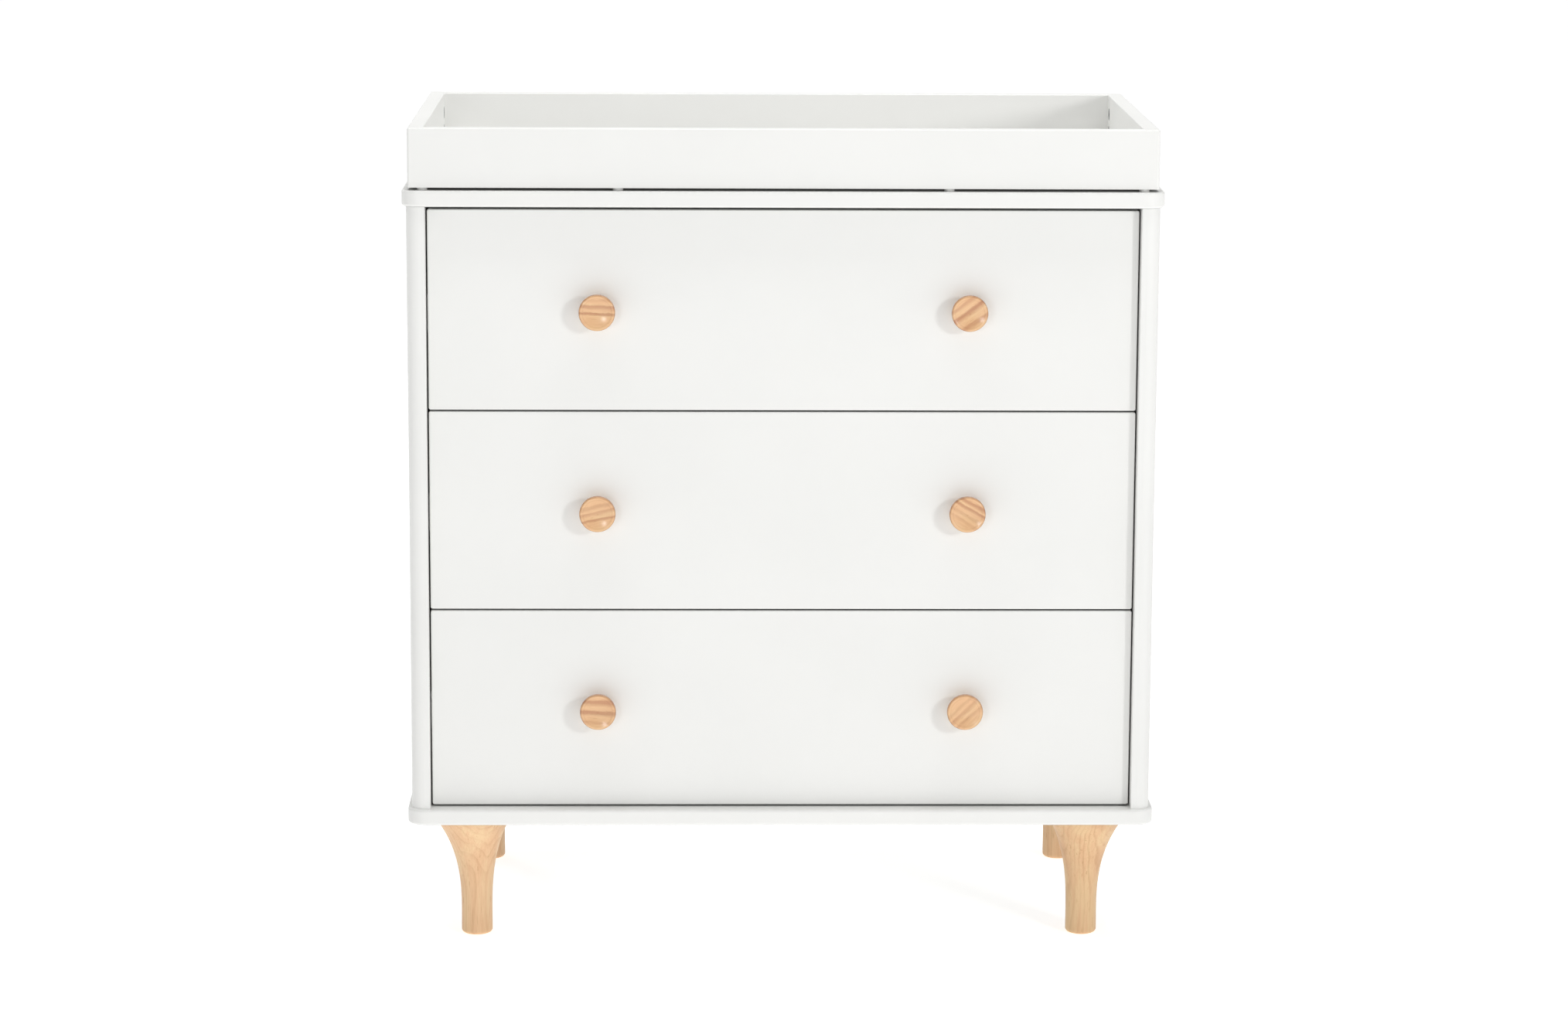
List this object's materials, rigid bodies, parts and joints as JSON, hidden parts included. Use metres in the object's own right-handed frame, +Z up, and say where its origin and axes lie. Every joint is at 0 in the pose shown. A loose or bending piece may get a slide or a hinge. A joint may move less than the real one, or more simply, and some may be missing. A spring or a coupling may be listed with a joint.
{
  "type": "changing table",
  "caption": "White dresser with full-width inset drawers on runners, round wooden knobs and turned flared legs, and a low lift-off changing tray on top.",
  "frame": {"origin": "on the floor, under the centre of the whole outline, from the knobs' fronts to the back of the top", "axes": "+X to the right as seen from the front, +Y to the back, +Z up; the drawers open along -Y"},
  "size_m": [0.876, 0.495, 0.966],
  "materials": {
    "white_paint": "satin white paint on smooth board",
    "natural_wood": "clear satin lacquer",
    "drawer_box_wood": "white lacquer",
    "white_sheet": "white laminated hardboard",
    "birch_dowel": "plain",
    "zinc_steel": "zinc plated",
    "cast_zinc": "cast, dull",
    "runner_steel": "zinc plated, cold rolled",
    "pad_rubber": "matte"
  },
  "bodies": {
    "case": {"top_panel": "white_paint", "base_panel": "white_paint", "side_panel_left": "white_paint", "side_panel_right": "white_paint", "back_panel": "white_sheet", "anchor_rail": "white_paint", "leg_front_left": "natural_wood", "leg_front_right": "natural_wood", "leg_back_left": "natural_wood", "leg_back_right": "natural_wood", "leg_bolts": "zinc_steel", "leg_inserts": "zinc_steel", "case_cam_locks": "cast_zinc", "case_cam_bolts": "zinc_steel", "case_dowels": "birch_dowel", "back_panel_screws": "zinc_steel", "bottom_case_runners": "runner_steel", "middle_case_runners": "runner_steel", "top_case_runners": "runner_steel"},
    "bottom_drawer": {"bottom_drawer_front": "white_paint", "bottom_drawer_side_left": "drawer_box_wood", "bottom_drawer_side_right": "drawer_box_wood", "bottom_drawer_back": "drawer_box_wood", "bottom_drawer_bottom": "white_sheet", "bottom_drawer_dowels": "birch_dowel", "bottom_knob_left": "natural_wood", "bottom_knob_right": "natural_wood", "bottom_knob_screws": "zinc_steel", "bottom_drawer_runners": "runner_steel"},
    "bottom_slides": {"bottom_slide_members": "runner_steel"},
    "middle_drawer": {"middle_drawer_front": "white_paint", "middle_drawer_side_left": "drawer_box_wood", "middle_drawer_side_right": "drawer_box_wood", "middle_drawer_back": "drawer_box_wood", "middle_drawer_bottom": "white_sheet", "middle_drawer_dowels": "birch_dowel", "middle_knob_left": "natural_wood", "middle_knob_right": "natural_wood", "middle_knob_screws": "zinc_steel", "middle_drawer_runners": "runner_steel"},
    "middle_slides": {"middle_slide_members": "runner_steel"},
    "top_drawer": {"top_drawer_front": "white_paint", "top_drawer_side_left": "drawer_box_wood", "top_drawer_side_right": "drawer_box_wood", "top_drawer_back": "drawer_box_wood", "top_drawer_bottom": "white_sheet", "top_drawer_dowels": "birch_dowel", "top_knob_left": "natural_wood", "top_knob_right": "natural_wood", "top_knob_screws": "zinc_steel", "top_drawer_runners": "runner_steel"},
    "top_slides": {"top_slide_members": "runner_steel"},
    "changing_tray": {"tray_front_board": "white_paint", "tray_back_board": "white_paint", "tray_left_board": "white_paint", "tray_right_board": "white_paint", "tray_bottom_panel": "white_paint", "tray_cam_locks": "cast_zinc", "tray_cam_bolts": "zinc_steel", "tray_pads": "pad_rubber"}
  },
  "joints": [
    {"name": "bottom_drawer_slide", "type": "slide", "parent": "case", "child": "bottom_drawer", "axis": [0, -1, 0], "range_m": [0, 0.36]},
    {"name": "bottom_runner_slide", "type": "slide", "parent": "case", "child": "bottom_slides", "axis": [0, -1, 0], "range_m": [0, 0.18]},
    {"name": "middle_drawer_slide", "type": "slide", "parent": "case", "child": "middle_drawer", "axis": [0, -1, 0], "range_m": [0, 0.36]},
    {"name": "middle_runner_slide", "type": "slide", "parent": "case", "child": "middle_slides", "axis": [0, -1, 0], "range_m": [0, 0.18]},
    {"name": "top_drawer_slide", "type": "slide", "parent": "case", "child": "top_drawer", "axis": [0, -1, 0], "range_m": [0, 0.36]},
    {"name": "top_runner_slide", "type": "slide", "parent": "case", "child": "top_slides", "axis": [0, -1, 0], "range_m": [0, 0.18]},
    {"name": "tray_lift", "type": "slide", "parent": "case", "child": "changing_tray", "axis": [0, 0, 1], "range_m": [0, 0.12]}
  ],
  "couplings": [
    {"joint": "bottom_runner_slide", "follows": "bottom_drawer_slide", "ratio": 0.5},
    {"joint": "middle_runner_slide", "follows": "middle_drawer_slide", "ratio": 0.5},
    {"joint": "top_runner_slide", "follows": "top_drawer_slide", "ratio": 0.5}
  ]
}
